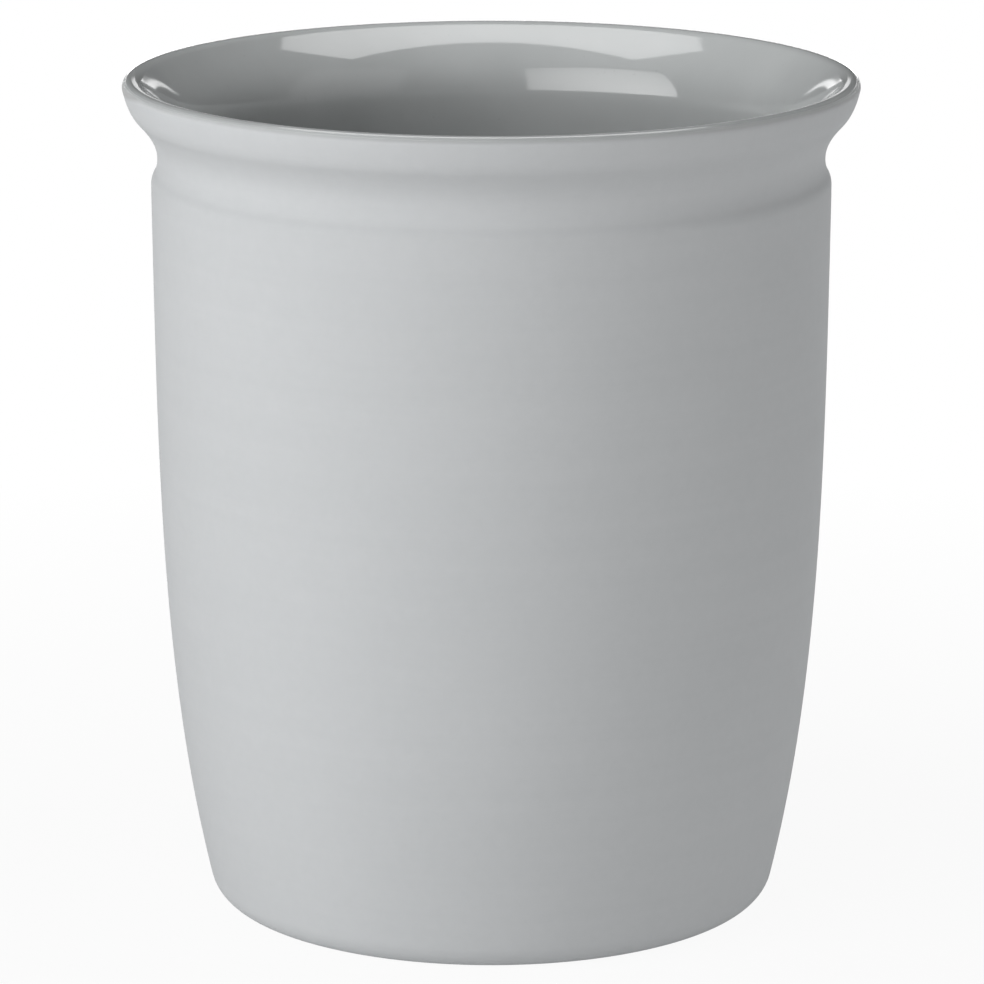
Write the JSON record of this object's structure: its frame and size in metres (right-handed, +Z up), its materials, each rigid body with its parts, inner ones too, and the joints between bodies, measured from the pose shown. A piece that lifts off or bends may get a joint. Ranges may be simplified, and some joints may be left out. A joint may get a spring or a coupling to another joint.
{
  "type": "stoneware preserving jar",
  "caption": "Tall open stoneware jar with a flared round lip, a tie-down groove under it and a bare matte outside; a glossy glaze lines the inside and rolls over the lip.",
  "frame": {"origin": "centre of the foot ring, on the plane the jar stands on", "axes": "+Z up along the axis the jar is turned about; X and Y are alike"},
  "size_m": [0.155, 0.155, 0.1781],
  "materials": {
    "bare_stoneware": "matte",
    "grey_glaze": "gloss"
  },
  "bodies": {
    "root": {"stoneware_body": "bare_stoneware", "glaze_lining": "grey_glaze"}
  },
  "joints": []
}
